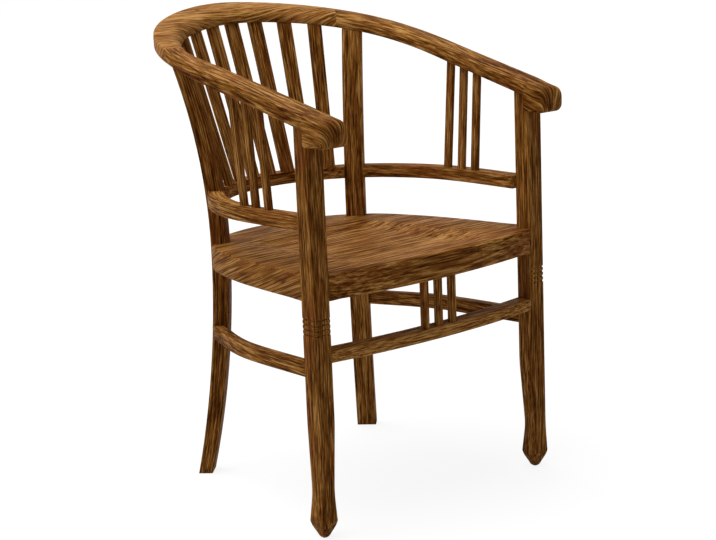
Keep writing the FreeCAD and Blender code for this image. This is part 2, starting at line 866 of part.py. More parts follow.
def build_front_leg(side, word):
    label = "front_leg_" + word
    body = new_body(label + "_blank")
    outer = cell.leg_spread / 2
    inner = outer - cell.leg_width
    tip = outer - cell.leg_width / 2 + cell.foot_flare / 2
    top = cell.ring_height + cell.tenon_length
    ground = cell.foot_height * 0
    front = [
        (inner, top),
        (outer, top),
        (outer, cell.ankle_height),
        (outer + cell.foot_flare, cell.foot_height),
        (outer + cell.foot_flare - cell.foot_shoulder_inset, cell.foot_shoulder_height),
        (tip + cell.foot_tip_width / 2, ground),
        (tip - cell.foot_tip_width / 2, ground),
        (inner + cell.foot_inner_inset + cell.foot_shoulder_inset, cell.foot_shoulder_height),
        (inner + cell.foot_inner_inset, cell.foot_height),
        (inner + cell.ankle_inset, cell.ankle_height),
        (inner, cell.leg_taper_height),
    ]
    if side < 0:
        front = [(x * -1, z) for x, z in front]
    pad(body, outline_sketch(body, label + "_front", "XZ_Plane", front), cell.leg_depth, True)
    middle = cell.leg_depth / 2
    behind = cell.leg_depth + cell.groove_pitch
    before = cell.groove_pitch * -1
    under = cell.groove_pitch * -1
    rear_waste = [
        (cell.leg_depth, cell.leg_taper_height),
        (behind, cell.leg_taper_height),
        (behind, under),
        (middle + cell.foot_tip_depth / 2, under),
        (middle + cell.foot_tip_depth / 2, ground),
        (cell.leg_depth - cell.foot_shoulder_inset, cell.foot_shoulder_height),
        (cell.leg_depth, cell.foot_height),
        (cell.leg_depth - cell.ankle_rear_inset, cell.ankle_height),
    ]
    front_waste = [
        (before, cell.foot_height),
        (ground, cell.foot_height),
        (cell.foot_shoulder_inset, cell.foot_shoulder_height),
        (middle - cell.foot_tip_depth / 2, ground),
        (middle - cell.foot_tip_depth / 2, under),
        (before, under),
    ]
    reach = cell.leg_spread * 2
    pocket(body, outline_sketch(body, label + "_rear_waste", "YZ_Plane", rear_waste), reach, True)
    pocket(body, outline_sketch(body, label + "_front_waste", "YZ_Plane", front_waste), reach, True)
    for index in range(GROOVE_COUNT):
        middle_height = cell.groove_height - cell.groove_pitch * index
        low = middle_height - cell.groove_width / 2
        high = middle_height + cell.groove_width / 2
        face = outer + cell.groove_depth
        deep = outer - cell.groove_depth
        ring = [
            (face, low - cell.groove_width / 2),
            (deep, middle_height),
            (face, high + cell.groove_width / 2),
        ]
        if side < 0:
            ring = [(x * -1, z) for x, z in ring]
        name = label + "_ring_" + str(index + 1)
        pocket(body, outline_sketch(body, name, "XZ_Plane", ring), reach, True)
        notch = [
            (cell.groove_depth * -1, low - cell.groove_width / 2),
            (cell.groove_depth, middle_height),
            (cell.groove_depth * -1, high + cell.groove_width / 2),
        ]
        name = label + "_notch_" + str(index + 1)
        pocket(body, outline_sketch(body, name, "YZ_Plane", notch), reach, True)
    room = mm.joint_room
    above = above_ring_under().cut(leg_top_peg(side))
    cutters = [
        above,
        front_stretcher_peg(side, room),
        stretcher_leg_peg(side, room),
        rail_leg_peg(side, room),
    ]
    carved(label, body, cutters + screw_holes())


# Pieces: rear legs

def build_rear_leg(side, word):
    label = "rear_leg_" + word
    body = new_body(label + "_blank")
    waist = cell.post_waist_height
    half = cell.post_thickness / 2
    end_half = cell.post_end_thickness / 2
    top = cell.ring_height + cell.post_top_rise
    zero = cell.post_waist_height * 0
    points = [
        (cell.post_foot_lean - end_half, zero),
        (cell.post_foot_lean + end_half, zero),
        (half, waist),
        (cell.post_top_lean + end_half, top),
        (cell.post_top_lean - end_half, top),
        (half * -1, waist),
    ]
    bulges = {}
    spans = (
        (1, half, cell.post_foot_lean + end_half - half, zero - waist),
        (2, half, cell.post_top_lean + end_half - half, top - waist),
        (4, half * -1, cell.post_top_lean - end_half + half, top - waist),
        (5, half * -1, cell.post_foot_lean - end_half + half, zero - waist),
    )
    for index, start, rise, run in spans:
        radius = arc_radius(rise, run)
        half_run = plain(run) / 2
        sag = plain(radius) - math.sqrt(plain(radius) ** 2 - half_run ** 2)
        bulges[index] = ((plain(start) + sag, plain(waist) + half_run), radius)
    sketch = outline_sketch(body, label + "_side", "XZ_Plane", points, bulges)
    pad(body, sketch, cell.post_width, both_ways=True)
    waist_point, outward, forward = post_axes(side)
    turn = FreeCAD.Rotation(outward, UP.cross(outward), UP, "XYZ")
    body.Placement = FreeCAD.Placement(waist_point, turn)
    room = mm.joint_room
    above = above_ring_under().cut(post_top_peg(side))
    cutters = [
        above,
        rail_post_peg(side, 1, room),
        rail_post_peg(side, -1, room),
        stretcher_post_peg(side, room),
    ]
    carved(label, body, cutters + screw_holes())


def build_ring():
    room = mm.joint_room
    bores = dowels(mm.dowel_length + 2 * room, mm.dowel_diameter + 2 * room)
    crest = RING_BLANK
    for side, word in ((-1, "left"), (1, "right")):
        point, outward = RING_JOINTS[side]
        region = front_of_joint(side, point, outward)
        pegs = [leg_top_peg(side, room), post_top_peg(side, room)]
        arm = RING_BLANK.common(region)
        shaped("arm_" + word, arm.cut(pegs + all_slat_pegs(side, 1, room) + bores))
        crest = crest.cut(region)
    pegs = [post_top_peg(side, room) for side in (-1, 1)]
    shaped("crest_rail", crest.cut(pegs + all_slat_pegs(0, 1, room) + bores))
    shaped("top_rail_dowels", Part.makeCompound(dowels(mm.dowel_length, mm.dowel_diameter)))


def build_lower_rails():
    room = mm.joint_room
    inner = curve_through(inner_points(RAIL_OUTER, RAIL_POINTS, lambda share: mm.rail_breadth))
    tall = band_face(RAIL_OUTER, inner).extrude(Vector(0, 0, mm.ring_height))
    blank = tall.common(slab(rail_top, mm.rail_thickness))
    front = side_prism([
        (-mm.overrun, 0),
        (mm.leg_depth, 0),
        (mm.leg_depth, mm.ring_height),
        (-mm.overrun, mm.ring_height),
    ], mm.arm_span)
    blank = blank.cut(front)
    for side in (-1, 1):
        outward, forward = post_axes(side)[1:]
        z = rail_top(mm.post_back) - mm.rail_thickness / 2
        centre = post_point(side, z)
        half = mm.post_width / 2
        reach = mm.overrun
        corners = [
            centre + forward * half + outward * reach,
            centre + forward * half - outward * reach,
            centre - forward * half - outward * reach,
            centre - forward * half + outward * reach,
        ]
        blank = blank.cut(plan_prism([(corner.x, corner.y) for corner in corners]))
    pieces = {}
    for solid in blank.Solids:
        x = solid.CenterOfMass.x
        if abs(x) < mm.leg_width:
            pieces["back"] = solid
        elif x < 0:
            pieces["left"] = solid
        else:
            pieces["right"] = solid
    for side, word in ((-1, "left"), (1, "right")):
        rail = pieces[word].cut(all_slat_pegs(side, 0, room))
        rail = rail.fuse([rail_leg_peg(side), rail_post_peg(side, 1)])
        shaped("lower_arm_rail_" + word, rail)
    back = pieces["back"].cut(all_slat_pegs(0, 0, room))
    shaped("lower_back_rail", back.fuse([rail_post_peg(-1, -1), rail_post_peg(1, -1)]))


def build_slats():
    for index, line in enumerate(BACK_LINES):
        slat = slat_solid(
            line, mm.slat_foot_width, mm.slat_head_width, mm.slat_thickness, mm.slat_edge_radius
        )
        for tenon in slat_pegs(line, mm.slat_foot_width, mm.slat_thickness):
            slat = slat.fuse(tenon)
        shaped("back_slat_" + str(index + 1), slat)
    for side, word in ((-1, "left"), (1, "right")):
        for index, line in enumerate(SIDE_LINES[side]):
            width = mm.side_slat_width
            slat = slat_solid(
                line, width, width, mm.side_slat_thickness, mm.side_slat_edge_radius
            )
            for tenon in slat_pegs(line, width, mm.side_slat_thickness):
                slat = slat.fuse(tenon)
            shaped("side_slat_" + word + "_" + str(index + 1), slat)


def smooth(value):
    value = min(max(value, 0.0), 1.0)
    return value * value * (3 - 2 * value)


def dish_share(x, y):
    """How deep the seat is hollowed at a place, from 0 on its rim to 1 in its middle."""
    slope = mm.dish_slope_width
    sides = smooth((mm.dish_half_width - abs(x)) / slope)
    back = smooth((mm.dish_back - y) / slope)
    front = smooth((y + mm.seat_bow + mm.dish_front_lead) / mm.dish_front_width)
    return sides * back * front


def dish_cutter():
    """What lies above the hollowed top of the seat."""
    half = mm.leg_spread / 2 + mm.seat_bow
    front = -2 * mm.seat_bow
    back = mm.seat_reach + mm.seat_bow
    grid = []
    for row in range(DISH_STEPS + 1):
        y = front + (back - front) * row / DISH_STEPS
        line = []
        for column in range(DISH_STEPS + 1):
            x = half * (2 * column / DISH_STEPS - 1)
            drop = (mm.dish_depth + mm.dish_lift) * dish_share(x, y) - mm.dish_lift
            line.append(Vector(x, y, seat_top(y) - drop))
        grid.append(line)
    surface = Part.BSplineSurface()
    surface.interpolate(grid)
    return surface.toShape().extrude(Vector(0, 0, mm.overrun))


def build_seat():
    half = mm.leg_spread / 2
    inner = half - mm.leg_width
    side_points = right_half(SEAT_PLAN_SHARES, half, mm.seat_reach)
    corner = Vector(half, 0, 0)
    edge = curve_through([corner] + whole(side_points) + [Vector(-half, 0, 0)])
    bow = Part.Arc(Vector(-inner, 0, 0), Vector(0, -mm.seat_bow, 0), Vector(inner, 0, 0))
    edges = [
        edge.toShape(),
        Part.makeLine(Vector(-half, 0, 0), Vector(-inner, 0, 0)),
        bow.toShape(),
        Part.makeLine(Vector(inner, 0, 0), Vector(half, 0, 0)),
    ]
    plan = Part.Face(Part.Wire(Part.__sortEdges__(edges)))
    blank = plan.extrude(Vector(0, 0, mm.ring_height)).common(slab(seat_top, mm.seat_thickness))
    rims = [edge for edge in blank.Edges if is_long_rim(edge)]
    blank = blank.makeFillet(mm.seat_edge_radius, rims)
    room = mm.joint_room
    seat = blank.cut(dish_cutter())
    for side in (-1, 1):
        low = side * (inner - room)
        high = side * (half + mm.overrun)
        back = mm.leg_depth + room
        seat = seat.cut(plan_prism([(low, -mm.overrun), (high, -mm.overrun), (high, back), (low, back)]))
        waist, outward, forward = post_axes(side)
        depth = mm.post_thickness / 2 + room
        width = mm.post_width / 2 + room
        corners = [
            waist + forward * width - outward * depth,
            waist - forward * width - outward * depth,
            waist - forward * width + outward * mm.overrun,
            waist + forward * width + outward * mm.overrun,
        ]
        seat = seat.cut(plan_prism([(point.x, point.y) for point in corners]))
    for cutter in screw_holes():
        seat = seat.cut(cutter)
    for centre in spindle_centres():
        seat = seat.cut(spindle_pegs(centre, room)[1])
    shaped("seat", seat)
    shaped("seat_screws", Part.makeCompound([screw(*place) for place in screw_places()]))


def is_long_rim(edge):
    """An edge that runs along the top or the underside of the seat's curved sides."""
    flat = abs(edge.Vertexes[0].Z - edge.Vertexes[-1].Z) < mm.seat_thickness / 2
    return flat and edge.Length > mm.leg_spread / 2


def build_front_stretcher():
    inner = mm.leg_spread / 2 - mm.leg_width
    depth = mm.front_stretcher_depth
    bow = mm.front_stretcher_bow
    thickness = mm.front_stretcher_thickness
    z = mm.front_stretcher_height - thickness
    front = Part.Arc(Vector(-inner, 0, z), Vector(0, -bow, z), Vector(inner, 0, z)).toShape()
    rear = Part.Arc(Vector(-inner, depth, z), Vector(0, depth - bow, z), Vector(inner, depth, z)).toShape()
    ends = [
        Part.makeLine(Vector(side * inner, 0, z), Vector(side * inner, depth, z)) for side in (-1, 1)
    ]
    plan = Part.Face(Part.Wire(Part.__sortEdges__([front, rear] + ends)))
    rail = plan.extrude(UP * thickness)
    rail = rail.makeFillet(mm.stretcher_edge_radius, long_edges(rail))
    for side in (-1, 1):
        rail = rail.fuse(front_stretcher_peg(side))
    for centre in spindle_centres():
        rail = rail.cut(spindle_pegs(centre, mm.joint_room)[0])
    shaped("front_stretcher", rail)


def build_side_stretcher(side, word):
    half_span = mm.stretcher_span / 2
    points = right_half(STRETCHER_PLAN_SHARES, half_span, mm.post_back)
    start, second = points[:2]
    beyond, last = points[-2:]
    lead = start + (start - second) * STRETCHER_LEAD_SHARE
    tail = last + (last - beyond) * STRETCHER_TAIL_SHARE
    points = [lead] + points + [tail]
    points = [Vector(side * point.x, point.y, 0) for point in points]
    outer = curve_through(points)
    moved = []
    for point in points:
        inward = inward_at(outer, outer.parameter(point))
        moved.append(point + inward * (side * mm.stretcher_breadth))
    tall = band_face(outer, curve_through(moved)).extrude(Vector(0, 0, mm.ring_height))
    blank = tall.common(slab(stretcher_top, mm.stretcher_thickness))
    blank = blank.makeFillet(mm.stretcher_edge_radius, long_edges(blank))
    z = stretcher_top(mm.post_back) - mm.stretcher_thickness / 2
    outward, forward = post_axes(side)[1:]
    face = post_point(side, z, 0.5)
    far = mm.back_reach
    behind = [
        face - outward * far,
        face + outward * far,
        face + outward * far - forward * far,
        face - outward * far - forward * far,
    ]
    blank = blank.cut(plan_prism([(point.x, point.y) for point in behind]))
    front = side_prism([
        (-mm.overrun, 0),
        (mm.leg_depth, 0),
        (mm.leg_depth, mm.ring_height),
        (-mm.overrun, mm.ring_height),
    ], mm.arm_span)
    blank = blank.cut(front)
    rail = blank.fuse(stretcher_leg_peg(side)).fuse(stretcher_post_peg(side))
    shaped("side_stretcher_" + word, rail)


def build_spindles():
    for index, centre in enumerate(spindle_centres()):
        half = mm.spindle_size / 2
        height = seat_under(centre.y + half) - centre.z
        corner = centre - Vector(half, half, 0)
        spindle = Part.makeBox(mm.spindle_size, mm.spindle_size, height, corner)
        spindle = spindle.makeFillet(mm.spindle_edge_radius, long_edges(spindle))
        for tenon in spindle_pegs(centre):
            spindle = spindle.fuse(tenon)
        shaped("front_spindle_" + str(index + 1), spindle)


for side, word in ((-1, "left"), (1, "right")):
    build_front_leg(side, word)
    build_rear_leg(side, word)
    build_side_stretcher(side, word)
build_front_stretcher()
build_spindles()
build_seat()
build_lower_rails()
build_slats()
build_ring()
doc.recompute()

for item in doc.Objects:
    if "Invalid" in item.State or "Error" in item.State:
        raise ValueError(item.Label + " did not build")
for item in nodes:
    if item.Shape.isNull() or not item.Shape.isValid():
        raise ValueError(item.Label + " has no valid shape")

os.makedirs("parts", exist_ok=True)
for item in nodes:
    item.Shape.exportStep("parts/" + item.Label + ".step")
    box = item.Shape.BoundBox
    print(item.Label, len(item.Shape.Solids), round(item.Shape.Volume / 1000, 2),
          [round(v, 1) for v in (box.XMin, box.XMax, box.YMin, box.YMax, box.ZMin, box.ZMax)])
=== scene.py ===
import math

import bmesh
import bpy
import numpy
from mathutils import Matrix, Vector


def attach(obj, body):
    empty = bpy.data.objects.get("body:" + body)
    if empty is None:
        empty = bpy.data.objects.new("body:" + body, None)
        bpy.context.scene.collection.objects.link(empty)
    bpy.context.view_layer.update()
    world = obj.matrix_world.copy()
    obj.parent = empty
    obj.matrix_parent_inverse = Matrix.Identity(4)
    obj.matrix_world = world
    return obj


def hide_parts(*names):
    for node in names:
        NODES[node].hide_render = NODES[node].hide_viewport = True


# Planters chair. Lengths are metres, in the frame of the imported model.

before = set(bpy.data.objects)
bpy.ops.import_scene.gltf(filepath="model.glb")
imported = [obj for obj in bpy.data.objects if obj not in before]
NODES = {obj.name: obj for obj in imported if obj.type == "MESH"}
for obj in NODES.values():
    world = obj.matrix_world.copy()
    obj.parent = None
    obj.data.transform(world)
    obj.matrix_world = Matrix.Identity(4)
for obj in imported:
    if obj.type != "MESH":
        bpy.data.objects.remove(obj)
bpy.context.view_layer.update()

X_AXIS = Vector((1, 0, 0))
Z_AXIS = Vector((0, 0, 1))
WHITE = (1, 1, 1, 1)

ARMS = ("arm_left", "arm_right")
RING_PIECES = (*ARMS, "crest_rail")
BENT_RAILS = (
    "lower_arm_rail_left",
    "lower_arm_rail_right",
    "lower_back_rail",
    "side_stretcher_left",
    "side_stretcher_right",
)


def side_of(name):
    """1 for a piece on the right and -1 for one on the left."""
    return 1 if name.endswith("right") else -1


def share_between(low, high, value):
    """How far a value is on its way between two others, from 0 to 1."""
    return min(max((value - low) / (high - low), 0.0), 1.0)


def add_object(name, data):
    item = bpy.data.objects.new(name, data)
    bpy.context.scene.collection.objects.link(item)
    return item


def new_material(name):
    """A material with its node tree and its shader."""
    material = bpy.data.materials.new(name)
    material.use_nodes = True
    tree = material.node_tree
    return material, tree, tree.nodes["Principled BSDF"]


# Camera

CAMERA_PLACE = Vector((-2.00053, -2.53013, 1.12955))
CAMERA_AZIMUTH = math.radians(-39.3005)
CAMERA_ELEVATION = math.radians(13.0063)
CAMERA_ROLL = math.radians(-2.3222)
CAMERA_LENS = 88.67
CAMERA_SENSOR = 36.0
CAMERA_SHIFT = (-0.0056, -0.0018)
CAMERA_CLIP = (0.05, 50)


def make_camera():
    azimuth, elevation, roll = CAMERA_AZIMUTH, CAMERA_ELEVATION, CAMERA_ROLL
    back = Vector((
        math.sin(azimuth) * math.cos(elevation),
        -math.cos(azimuth) * math.cos(elevation),
        math.sin(elevation),
    ))
    right = Vector((math.cos(azimuth), math.sin(azimuth), 0))
    up = back.cross(right)
    turned_right = right * math.cos(roll) + up * math.sin(roll)
    turned_up = up * math.cos(roll) - right * math.sin(roll)
    rotation = Matrix((turned_right, turned_up, back)).transposed()
    data = bpy.data.cameras.new("camera")
    data.sensor_fit = "HORIZONTAL"
    data.sensor_width = CAMERA_SENSOR
    data.lens = CAMERA_LENS
    data.shift_x, data.shift_y = CAMERA_SHIFT
    data.clip_start, data.clip_end = CAMERA_CLIP
    camera = add_object("camera", data)
    camera.matrix_world = Matrix.Translation(CAMERA_PLACE) @ rotation.to_4x4()
    bpy.context.scene.camera = camera


# Node helpers

def add(tree, kind, **values):
    node = tree.nodes.new(kind)
    for name, value in values.items():
        setattr(node, name, value)
    return node


def link(tree, source, target):
    tree.links.new(source, target)


def feed(tree, sockets, values):
    """Link each socket to its value, or set it where the value is fixed."""
    for socket, value in zip(sockets, values):
        if isinstance(value, bpy.types.NodeSocket):
            link(tree, value, socket)
        else:
            socket.default_value = value


def math_node(tree, operation, *values):
    node = add(tree, "ShaderNodeMath", operation=operation)
    feed(tree, node.inputs, values)
    return node.outputs[0]


def vector_node(tree, operation, first, second):
    node = add(tree, "ShaderNodeVectorMath", operation=operation)
    feed(tree, node.inputs, (first, second))
    return node.outputs[0]


def scaled(tree, vector, scale):
    return vector_node(tree, "MULTIPLY", vector, scale)


def length_of(tree, vector):
    node = add(tree, "ShaderNodeVectorMath", operation="LENGTH")
    link(tree, vector, node.inputs[0])
    return node.outputs["Value"]


def separated(tree, vector):
    node = add(tree, "ShaderNodeSeparateXYZ")
    link(tree, vector, node.inputs[0])
    return node.outputs


def combined(tree, *values):
    node = add(tree, "ShaderNodeCombineXYZ")
    feed(tree, node.inputs, values)
    return node.outputs[0]


def noise(tree, place, rate, detail=2.0, roughness=0.5, output="Fac"):
    """Noise with a rate of its own in each direction, in waves per metre."""
    node = add(tree, "ShaderNodeTexNoise", noise_dimensions="3D")
    link(tree, scaled(tree, place, rate), node.inputs["Vector"])
    node.inputs["Scale"].default_value = 1.0
    node.inputs["Detail"].default_value = detail
    node.inputs["Roughness"].default_value = roughness
    return node.outputs[output]


def ramp(tree, value, stops):
    node = add(tree, "ShaderNodeValToRGB")
    elements = node.color_ramp.elements
    while len(elements) < len(stops):
        elements.new(0.5)
    for element, (place, colour) in zip(elements, stops):
        element.position = place
        element.color = (*colour, 1)
    link(tree, value, node.inputs["Fac"])
    return node.outputs["Color"]


def spread(tree, value, low, high, to_low=0.0, to_high=1.0):
    """The value moved from one range to another and held inside it."""
    node = add(tree, "ShaderNodeMapRange", clamp=True)
    link(tree, value, node.inputs["Value"])
    node.inputs["From Min"].default_value = low
    node.inputs["From Max"].default_value = high
    node.inputs["To Min"].default_value = to_low
    node.inputs["To Max"].default_value = to_high
    return node.outputs["Result"]


# The sockets of a Mix node that take the share and the two colours, and the one of the result
MIX_INPUTS = (0, 6, 7)
MIX_OUTPUT = 2


def mix_colour(tree, blend, share, colour, other):
    """A colour mixed with another one, which comes from a node or is three numbers."""
    node = add(tree, "ShaderNodeMix", data_type="RGBA", blend_type=blend)
    if isinstance(other, tuple):
        other = (*other, 1)
    feed(tree, [node.inputs[index] for index in MIX_INPUTS], (share, colour, other))
    return node.outputs[MIX_OUTPUT]


def mix_shaders(tree, share, first, second):
    node = add(tree, "ShaderNodeMixShader")
    feed(tree, node.inputs, (share, first, second))
    return node.outputs[0]


# Wood pattern. A rate is in waves per metre, across the grain (x, y) and along it (z).

def srgb(*values):
    """The linear values of a colour that is written as sRGB from 0 to 255."""
    shares = [value / 255 for value in values]
    return tuple(
        share / 12.92 if share <= 0.04045 else ((share + 0.055) / 1.055) ** 2.4
        for share in shares
    )


WANDER_RATE = (14, 14, 4.5)
WANDER_REACH = (0.004, 0.004, 0.0)

PITH_OFFSET = Vector((0.045, 0.11, 0.0))
RINGS_PER_METRE = 190.0
RING_WAVE_RATE = (40, 40, 5)
RING_WAVE_REACH = 0.012
LATE_WOOD_POWER = 2.6
LATE_WOOD_WEIGHT = -0.25

# Rate, detail and roughness of the streaks, and their weight in the tone
STREAKS = {
    "broad": ((40, 40, 3.4), 2.5, 0.55, 0.7),
    "middle": ((170, 170, 6.5), 3, 0.6, 1.0),
    "fine": ((470, 470, 19), 3, 0.62, 2.8),
    "thread": ((1000, 1000, 38), 2, 0.6, 1.5),
}

TONE_RANGE = (2.40, 3.40)
TONE_COLOURS = (
    (0.00, srgb(60, 28, 4)),
    (0.25, srgb(98, 55, 15)),
    (0.50, srgb(134, 84, 30)),
    (0.75, srgb(168, 114, 50)),
    (1.00, srgb(206, 154, 88)),
)

# Reddish patches and flecks: their rate, the noise from which they show, and their share
PATCHES = (
    ((26, 26, 7), 0.55, 0.3),
    ((130, 130, 16), 0.60, 0.45),
)
PATCH_EDGE = 0.12
PATCH_COLOUR = srgb(132, 62, 22)

RESIN_RATE = (230, 230, 8.5)
RESIN_RANGE = (0.58, 0.68)
RESIN_SHARE = 0.62
RESIN_COLOUR = (0.36, 0.27, 0.18)

PORE_RATE = (2300, 2300, 150)
PORE_RANGE = (0.60, 0.72)
PORE_SHARE = 0.4
PORE_COLOUR = (0.38, 0.30, 0.22)

KNOT_RATE = (30, 30, 14)
KNOT_RANGE = (0.04, 0.12)
KNOT_SHARE = 0.75
KNOT_COLOUR = srgb(58, 26, 8)

DARK_ROUGHNESS = 0.66
LIGHT_ROUGHNESS = 0.5
PORE_ROUGHNESS = 0.2

FINE_HEIGHT = 0.5
THREAD_HEIGHT = 0.3
PORE_HEIGHT = -0.5


def wandered(tree, place):
    """The place moved a little across, so that the grain wanders as it runs."""
    wander = noise(tree, place, WANDER_RATE, output="Color")
    centred = vector_node(tree, "SUBTRACT", wander, (0.5, 0.5, 0.5))
    return vector_node(tree, "ADD", place, scaled(tree, centred, WANDER_REACH))


def late_wood(tree, place):
    """How dark each place is in its growth ring, round a pith outside the piece."""
    offset = vector_node(tree, "SUBTRACT", place, PITH_OFFSET)
    distance = length_of(tree, scaled(tree, offset, (1, 1, 0)))
    wave = noise(tree, place, RING_WAVE_RATE)
    radius = math_node(tree, "MULTIPLY_ADD", wave, RING_WAVE_REACH, distance)
    ring = math_node(tree, "FRACT", math_node(tree, "MULTIPLY", radius, RINGS_PER_METRE))
    return math_node(tree, "POWER", ring, LATE_WOOD_POWER)


def knot_share(tree, place):
    """1 in the middle of a small knot and 0 outside it."""
    node = add(tree, "ShaderNodeTexVoronoi", voronoi_dimensions="3D", feature="F1")
    link(tree, scaled(tree, place, KNOT_RATE), node.inputs["Vector"])
    node.inputs["Scale"].default_value = 1.0
    return spread(tree, node.outputs["Distance"], *KNOT_RANGE, 1.0, 0.0)


def make_wood_group():
    """The pattern of the wood over a place whose z runs along the grain."""
    tree = bpy.data.node_groups.new("wood_pattern", "ShaderNodeTree")
    for name, way, kind in (
        ("Place", "INPUT", "NodeSocketVector"),
        ("Tone", "INPUT", "NodeSocketFloat"),
        ("Color", "OUTPUT", "NodeSocketColor"),
        ("Roughness", "OUTPUT", "NodeSocketFloat"),
        ("Height", "OUTPUT", "NodeSocketFloat"),
    ):
        tree.interface.new_socket(name, in_out=way, socket_type=kind)
    source = add(tree, "NodeGroupInput").outputs
    target = add(tree, "NodeGroupOutput").inputs
    place = wandered(tree, source["Place"])

    tone = source["Tone"]
    layers = {}
    for name, (rate, detail, roughness, weight) in STREAKS.items():
        layers[name] = noise(tree, place, rate, detail, roughness)
        tone = math_node(tree, "MULTIPLY_ADD", layers[name], weight, tone)
    tone = math_node(tree, "MULTIPLY_ADD", late_wood(tree, place), LATE_WOOD_WEIGHT, tone)
    tone = spread(tree, tone, *TONE_RANGE)
    colour = ramp(tree, tone, TONE_COLOURS)

    for rate, low, share in PATCHES:
        patch = spread(tree, noise(tree, place, rate, detail=3), low, low + PATCH_EDGE)
        patch = math_node(tree, "MULTIPLY", patch, share)
        colour = mix_colour(tree, "MIX", patch, colour, PATCH_COLOUR)

    resin = spread(tree, noise(tree, place, RESIN_RATE), *RESIN_RANGE)
    resin = math_node(tree, "MULTIPLY", resin, RESIN_SHARE)
    colour = mix_colour(tree, "MULTIPLY", resin, colour, RESIN_COLOUR)

    pore = spread(tree, noise(tree, place, PORE_RATE, detail=1), *PORE_RANGE)
    pore_shade = math_node(tree, "MULTIPLY", pore, PORE_SHARE)
    colour = mix_colour(tree, "MULTIPLY", pore_shade, colour, PORE_COLOUR)

    knot = math_node(tree, "MULTIPLY", knot_share(tree, place), KNOT_SHARE)
    colour = mix_colour(tree, "MIX", knot, colour, KNOT_COLOUR)
    link(tree, colour, target["Color"])

    rough = spread(tree, tone, 0.0, 1.0, DARK_ROUGHNESS, LIGHT_ROUGHNESS)
    rough = math_node(tree, "MULTIPLY_ADD", pore, PORE_ROUGHNESS, rough)
    link(tree, rough, target["Roughness"])

    height = math_node(tree, "MULTIPLY", layers["fine"], FINE_HEIGHT)
    height = math_node(tree, "MULTIPLY_ADD", layers["thread"], THREAD_HEIGHT, height)
    height = math_node(tree, "MULTIPLY_ADD", pore, PORE_HEIGHT, height)
    link(tree, height, target["Height"])
    return tree


WOOD = make_wood_group()


# Wood of each piece

# The attribute that holds the arms' places along their curve
GRAIN_PLACE = "grain_place"

# How much of the depth below a top still moves the pattern down its sides
FOLD_REST = 0.05

# The degree of the curve that is taken out of a bent rail
CURVE_ORDER = 4

# How fast the pattern changes in each direction. Less than 1 keeps the streaks broad and long
# where the grain comes out at the surface.
PLAIN_SQUASH = (1, 1, 1)
RAIL_SQUASH = (0.7, 0.7, 0.8)
SQUASHES = {
    "seat": (1, 0.5, 0.6),
    "crest_rail": (1, 0.55, 1),
    "arm_left": (0.5, 1, 1),
    "arm_right": (0.5, 1, 1),
}

# The seat's side faces show a second pattern, whose grain runs along them. It takes over
# where a face's normal turns to the side by as much as this range.
SEAT_STRETCH = (1, 1, 0.6)
SEAT_SIDE_SQUASH = (0.05, 2, 1.67)
SEAT_SIDE_GRAIN = Vector((0, -0.94, 0.36)).normalized()
SEAT_SIDE_RANGE = (0.45, 0.8)

# Each piece's board: where it lies in the pattern and how far it is turned round its grain
BOARD_STEP = Vector((0.754877, 0.569840, 0.430160))
BOARD_REACH = 7
SPIN_STEP = 1.1
UNTURNED = ("seat", *RING_PIECES)
DOWEL_SEED = 40

# Rear legs: the height of their waist and how fast they lean out above and below it
POST_WAIST = 0.440
POST_TOP_RATE = 0.4625
POST_FOOT_RATE = 0.2645

# Pieces whose grain runs from left to right
CROSSWISE = ("crest_rail", "seat", "front_stretcher", "top_rail_dowels")

# The length of a slat's ends between which its grain runs
SLAT_END = 0.03

# How much lighter or darker than the rest a piece is
TONES = {
    "back_slat_1": -0.05,
    "back_slat_3": 0.12,
    "back_slat_5": -0.06,
    "rear_leg_left": -0.12,
    "rear_leg_right": 0.03,
    "front_leg_left": -0.08,
    "front_leg_right": -0.05,
    "crest_rail": 0.17,
    "seat": 0.04,
    "front_stretcher": 0.15,
    "side_slat_left_1": 0.04,
    "lower_arm_rail_left": 0.04,
    "lower_back_rail": 0.04,
}

BUMP_STRENGTH = 0.4
BUMP_DEPTH = 0.0006

# Low, so that the white surroundings don't haze the wood
WOOD_SPECULAR = 0.03


def slat_grain(name):
    """The direction from a slat's lower end to its upper end."""
    points = [vertex.co for vertex in NODES[name].data.vertices]
    floor = min(point.z for point in points)
    top = max(point.z for point in points)
    lower = [point for point in points if point.z < floor + SLAT_END]
    upper = [point for point in points if point.z > top - SLAT_END]
    first = sum(lower, Vector()) / len(lower)
    last = sum(upper, Vector()) / len(upper)
    return (last - first).normalized()


def grain_of(name):
    """The direction of a piece's grain, in the place where it reads the pattern."""
    if name in CROSSWISE:
        return X_AXIS
    if "slat" in name or "spindle" in name:
        return slat_grain(name)
    return Z_AXIS


def along_grain(tree, place, grain, seed, spin):
    """The place turned so that z runs along the grain, in a board of its own."""
    mapping = add(tree, "ShaderNodeMapping", vector_type="POINT")
    turn = Matrix.Rotation(spin, 3, "Z") @ grain.rotation_difference(Z_AXIS).to_matrix()
    board = [(value * (seed + 1)) % 1.0 * BOARD_REACH for value in BOARD_STEP]
    mapping.inputs["Rotation"].default_value = turn.to_euler("XYZ")
    mapping.inputs["Location"].default_value = board
    link(tree, place, mapping.inputs["Vector"])
    return mapping.outputs["Vector"]


